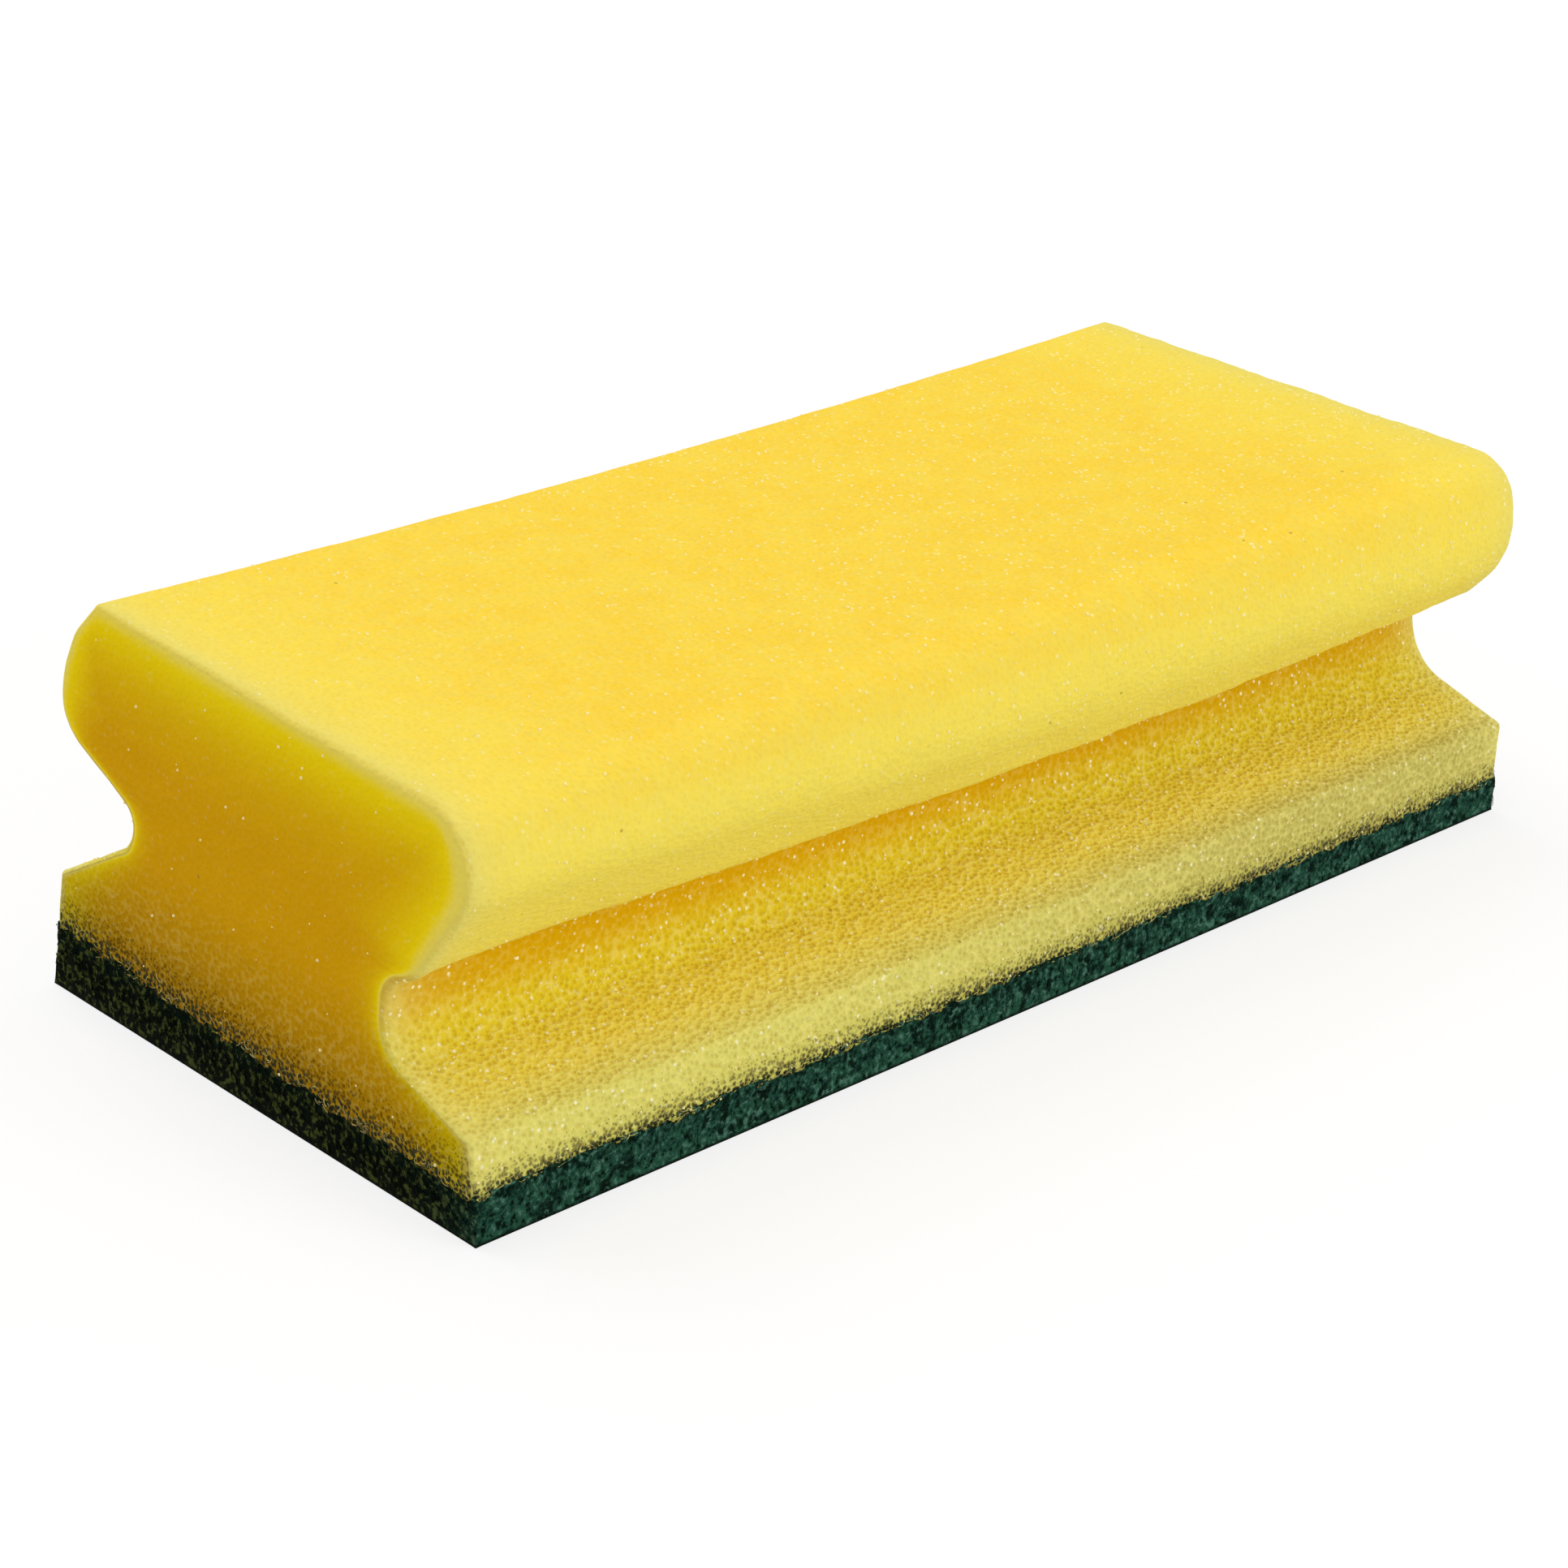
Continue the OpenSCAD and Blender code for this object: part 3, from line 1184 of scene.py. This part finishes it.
        # Painted shade in the groove between lip and shoulder.
        groove = ease(k, lip, floor) * (1.0 - ease(k, foot - 6, foot + 2))
        by_groove = ease(k, lip, floor) * (1.0 - ease(k, roof, foot + 9))
        # Painted shade under the shoulder's overhang.
        under = ease(k, floor - 2, roof - 2) * (1.0 - ease(k, foot - 4, foot + 3))
        # Painted light and shade on the cut ends: glow near the outline, painted shade deeper in.
        faded = 1.0 - np.exp(-depth / between(self.ring_depth, self.groove_ring_depth, by_groove))
        inner = 1.0 - np.exp(-depth * (1.0 + self.groove_glow * by_groove) / self.glow_depth)
        glow = 0.05 + (0.08 + 0.3 * by_groove * (1.0 - inner)) * faded + 0.87 * inner
        # Painted light: a pale rim near the cut ends, fading inwards.
        painted_rim_light = np.exp(-from_end / self.painted_rim_light_depth) * (1.0 - 0.8 * np.sqrt(turned))
        inland = 0.35 + 0.65 * ease(from_end, 0.0, self.inland_depth)
        pores = np.where(at_end, self.end_pores, self.side_pores)
        open_end = 0.06 + 0.8 * (1.0 - ease(above, 0.0, self.open_depth))
        open_side = (1.0 - 0.8 * ease(k, foot - 4, foot + 4)) * (1.0 - 0.7 * under)
        lively = ease(x, *(half * share for share in self.calm_stretch))
        top_glints = self.calm_glints + (1.0 - self.calm_glints) * lively
        glints = np.where(k < foot, self.side_glints, top_glints)
        at_side = (j == 0) | (j == j.max()) | at_end
        skin.shares = {
            Share.PAINTED_RIM_LIGHT: painted_rim_light * np.where(at_end, np.exp(-depth / 2.0), 1.0),
            Share.CUT_END: np.where(at_end, glow, 0.05 * turned ** 2),
            # Painted shade: darker towards the bottom of the cut ends.
            Share.LOW_END: at_end * (1.0 - ease(above, 0.0, self.low_depth)),
            Share.SEAM: 1.0 - ease(above, 0.0, pores),
            Share.TOP: outside * inland * ease(k, shoulder, self.rows.top()),
            Share.GROOVE: outside * groove,
            Share.UNDER: outside * under,
            Share.LIP: outside * (1.0 - ease(k, lip, slope)),
            Share.PITTED: np.where(at_end, open_end, open_side),
            Share.GLINT: np.where(at_end, self.end_glints, glints) * (k > 0),
            Share.STRAND: (1.0 - ease(above, *self.strand_heights)) * at_side,
        }

    def roughen(self, skin: Skin, k: np.ndarray, free: np.ndarray) -> None:
        """Gives the skin its soft unevenness and frays its lowest rows over the pad.

        Args:
            skin: The foam's skin.
            k: Row number of each point.
            free: Share of the unevenness that each point takes, 0 on the cut edges.
        """
        skin.swell(sum_of(self.unevenness, skin.points) * free)
        fray = sum_of(self.fray, skin.points * (1.0, 1.0, 0.2))
        weight = np.select([k == row for row in range(len(self.fray_rows))], self.fray_rows, 0.0)
        skin.points[:, 2] += weight * (self.fray_height * fray - self.fray_drop)

    def build(self, finish: Material) -> Object:
        """Makes the foam piece.

        Args:
            finish: The foam's material.

        Returns:
            The piece.
        """
        mesh = self.skin().mesh()
        mesh.materials.append(finish)
        return add_piece("foam_grip", mesh)


@dataclass
class ScouringPad:
    """The flat pad of matted fibres under the foam, with sizes in millimetres.

    Shares of its height say from where it is fully matted, carries loose fibres and takes painted
    shade near the seam. The painted shade on its cut ends fades near the front corner, where light
    falls, over a share of the width.
    """

    block: Block
    steps: tuple[int, int, int] = (200, 90, 9)
    set_back: float = 0.1
    overlap: float = 0.15
    matting: tuple[Waves, ...] = (Waves(1.0, 1.6, 5.5), Waves(0.6, 3.5, 11.9))
    side_matting: float = 0.22
    under_matting: float = 0.12
    matted_above: float = 0.4
    fibres_above: float = 0.25
    seam_shade_above: float = 0.55
    lit_front_corner: float = 0.55
    lit_front_corner_width: float = 0.04

    def skin(self) -> Skin:
        """Builds the pad's closed skin, with matted sides and underside.

        Returns:
            The skin, with its shares.
        """
        steps, quads = BoxLattice(self.steps).skin()
        u, v, w = (steps / np.array(self.steps)).T
        x = (u - 0.5) * self.block.length
        half = self.block.width / 2.0
        lean_front = between(self.block.front_left.seam.inset, self.block.front_right.seam.inset, u)
        lean_back = between(self.block.back_left.seam.inset, self.block.back_right.seam.inset, u)
        low, high = -half + lean_front * w, half - lean_back * w
        y = low + (high - low) * v
        top = self.block.seam_height(x, (v - 0.5) * self.block.width) + self.overlap
        skin = Skin("scouring_pad_felt", np.column_stack([x, y, w * top]), quads)
        at_end = (u == 0) | (u == 1)
        edge = (v == 0) | (v == 1) | at_end
        felt = sum_of(self.matting, skin.points)
        sides = edge & (w < 1)
        matted = self.side_matting * felt * ease(w, 0.0, self.matted_above) - self.set_back
        skin.swell(np.where(sides, matted, 0.0))
        under = (w == 0) & ~edge
        skin.points[under, 2] += self.under_matting + self.under_matting * felt[under]
        skin.shares = {
            Share.FIBRE: np.where(sides & (w > self.fibres_above), 1.0, 0.0),
            Share.SEAM: ease(w, self.seam_shade_above, 1.0),
            # Painted shade on the cut ends fades near the front corner, where light falls.
            Share.CUT_END: at_end * (1.0 - self.lit_front_corner * np.exp(-v / self.lit_front_corner_width)),
        }
        return skin

    def build(self, finish: Material) -> Object:
        """Makes the pad piece.

        Args:
            finish: The pad's material.

        Returns:
            The piece.
        """
        mesh = self.skin().mesh()
        mesh.materials.append(finish)
        return add_piece("scouring_pad_felt", mesh)


def add_piece(name: str, mesh: Mesh) -> Object:
    """Puts a mesh into the scene at the origin.

    Args:
        name: The piece's name.
        mesh: Its mesh.

    Returns:
        The new object.
    """
    piece = bpy.data.objects.new(name, mesh)
    bpy.context.scene.collection.objects.link(piece)
    return piece


def keep_above_table(piece: Object) -> None:
    """Lifts the points of a piece that would reach into the table onto it.

    Args:
        piece: The piece.
    """
    mesh = piece.data
    points = np.empty(len(mesh.vertices) * 3)
    mesh.vertices.foreach_get("co", points)
    points = points.reshape(-1, 3)
    points[:, 2] = np.maximum(points[:, 2], 0.0)
    mesh.vertices.foreach_set("co", points.ravel())
    mesh.update()


@dataclass(frozen=True)
class Viewpoint:
    """The photograph's camera, aimed at a point in millimetres."""

    azimuth: float = -44.48
    elevation: float = 24.88
    roll: float = -2.53
    distance: float = 463.19
    aim: tuple[float, float, float] = (6.90, 12.52, 6.41)
    lens: float = 95.26
    sensor: float = 36.0
    nearest: float = 0.01
    farthest: float = 20.0

    def place(self) -> None:
        """Makes the scene's camera."""
        turn, lift = math.radians(self.azimuth), math.radians(self.elevation)
        back = Vector((
            math.sin(turn) * math.cos(lift), -math.cos(turn) * math.cos(lift), math.sin(lift),
        ))
        right = (-back).cross(Vector((0.0, 0.0, 1.0))).normalized()
        up = back.cross(right)
        roll = Matrix.Rotation(math.radians(self.roll), 3, back)
        right, up = roll.transposed() @ right, roll.transposed() @ up
        data = bpy.data.cameras.new("camera")
        data.lens, data.sensor_width = self.lens, self.sensor
        data.clip_start, data.clip_end = self.nearest, self.farthest
        camera = bpy.data.objects.new("camera", data)
        pose = Matrix((right, up, back)).transposed().to_4x4()
        pose.translation = (Vector(self.aim) + back * self.distance) * MM
        camera.matrix_world = pose
        bpy.context.scene.collection.objects.link(camera)
        bpy.context.scene.camera = camera


@dataclass(frozen=True)
class Lamp:
    """A square soft light, placed in metres and aimed at the block."""

    name: str
    place: tuple[float, float, float]
    size: float
    power: float

    def hang(self) -> None:
        """Puts the lamp into the scene."""
        data = bpy.data.lights.new(self.name, "AREA")
        data.size, data.energy = self.size, self.power
        lamp = bpy.data.objects.new(self.name, data)
        lamp.location = self.place
        lamp.rotation_euler = (-Vector(self.place)).to_track_quat("-Z", "Y").to_euler()
        bpy.context.scene.collection.objects.link(lamp)


@dataclass(frozen=True)
class Studio:
    """White table top, white surroundings and soft lamps.

    The surroundings and the table look white to the camera, and give the object less light than
    that would.
    """

    lamps: tuple[Lamp, ...] = (
        Lamp("key", (0.5, -1.25, 0.38), 0.6, 5.8),
        Lamp("top", (-0.1, 0.7, 1.2), 0.8, 6.2),
    )
    surround: float = 0.7
    table_size: float = 6.0
    table_bounce: float = 0.7
    table_tone: float = 0.25
    table_glow: float = 0.76

    def set_up(self) -> None:
        """Makes the table, the surroundings and the lamps."""
        for lamp in self.lamps:
            lamp.hang()
        self.make_world()
        half = self.table_size / 2.0
        corners = [(-half, -half, 0.0), (half, -half, 0.0), (half, half, 0.0), (-half, half, 0.0)]
        mesh = bpy.data.meshes.new("table")
        mesh.from_pydata(corners, [], [(0, 1, 2, 3)])
        mesh.materials.append(self.table_material())
        add_piece("table", mesh)
        bpy.context.scene.view_settings.view_transform = "Standard"

    @staticmethod
    def seen_directly(graph: Graph) -> NodeSocket:
        """Tells rays that look at the background from rays that light the object.

        Args:
            graph: Graph of the table's or the world's nodes.

        Returns:
            1 for camera, glossy and transmission rays, otherwise 0.
        """
        path = graph.add("ShaderNodeLightPath").outputs
        looks = graph.math("MAXIMUM", path["Is Camera Ray"], path["Is Glossy Ray"])
        return graph.math("MAXIMUM", looks, path["Is Transmission Ray"])

    def make_world(self) -> None:
        """Makes surroundings that look white and light the object gently."""
        world = bpy.data.worlds.new("surroundings")
        world.use_nodes = True
        world.node_tree.nodes.clear()
        graph = Graph(world.node_tree)
        level = graph.add("ShaderNodeMapRange", {
            "Value": self.seen_directly(graph), "To Min": self.surround, "To Max": 1.0,
        })
        glow = graph.add("ShaderNodeBackground", {
            "Color": (1.0, 1.0, 1.0, 1.0), "Strength": level.outputs[0],
        })
        graph.add("ShaderNodeOutputWorld", {0: glow.outputs[0]})
        bpy.context.scene.world = world

    def table_material(self) -> Material:
        """Makes a table top that looks white and keeps the object's shadow.

        Returns:
            The material.
        """
        material, graph = new_material("white_table")
        seen = self.seen_directly(graph)
        tone = graph.add("ShaderNodeMapRange", {
            "Value": seen, "To Min": self.table_bounce, "To Max": self.table_tone,
        })
        matt = graph.add("ShaderNodeBsdfDiffuse", {"Color": tone.outputs[0]})
        glow = graph.add("ShaderNodeEmission", {
            "Strength": graph.math("MULTIPLY", seen, self.table_glow),
        })
        both = graph.add("ShaderNodeAddShader", {0: matt.outputs[0], 1: glow.outputs[0]})
        graph.add("ShaderNodeOutputMaterial", {"Surface": both.outputs[0]})
        return material


@dataclass
class Sponge:
    """The whole part: foam grip, scouring pad and what grows on their skins."""

    block: Block
    # Small bits standing for cell walls, with a pale colour that is a painted glint.
    glints: Scatter = Scatter(
        "foam_painted_glint_walls", Share.GLINT, per_square_mm=0.12, smallest=0.14, largest=0.40, seed=7,
    )
    struts: ThreadScatter = ThreadScatter(
        "foam_struts", Share.STRAND, per_square_mm=1.8, smallest=0.5, largest=1.1, seed=11,
        tilt=0.4, thickness=0.11,
    )
    fibres: ThreadScatter = ThreadScatter(
        "pad_fibres", Share.FIBRE, per_square_mm=2.2, smallest=0.9, largest=1.9, seed=23,
        tilt=0.04, thickness=0.06, bend=0.2,
    )

    def take(self, piece: Object, stands_for: str = "") -> Object:
        """Ties a piece to the frame.

        Args:
            piece: The piece.
            stands_for: CAD node that it replaces, if any.

        Returns:
            The piece.
        """
        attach(piece, "root")
        if stands_for:
            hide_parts(stands_for)
        log.info("%s: %d faces", piece.name, len(piece.data.polygons))
        return piece

    def build(self) -> None:
        """Builds every piece in order."""
        foam = FoamGrip(self.block).build(FoamFinish().material())
        self.take(foam, "foam_body")
        pad = ScouringPad(self.block).build(FELT.material())
        self.take(pad, "scouring_pad")
        self.take(self.glints.grow(foam.data, PAINTED_GLINT_WALL.material()))
        self.take(self.struts.grow(foam.data, FOAM_STRUT.material()))
        fibres = self.fibres.grow(pad.data, LOOSE_FIBRE.material())
        keep_above_table(self.take(fibres))


def main() -> None:
    """Builds the studio and the sponge."""
    logging.basicConfig(level=logging.INFO, format="%(name)s: %(message)s")
    low, high = CAD_BOX
    block = Block(length=(high.x - low.x) / MM, width=(high.y - low.y) / MM)
    Viewpoint().place()
    Studio().set_up()
    Sponge(block).build()


if __name__ == "__main__":
    main()
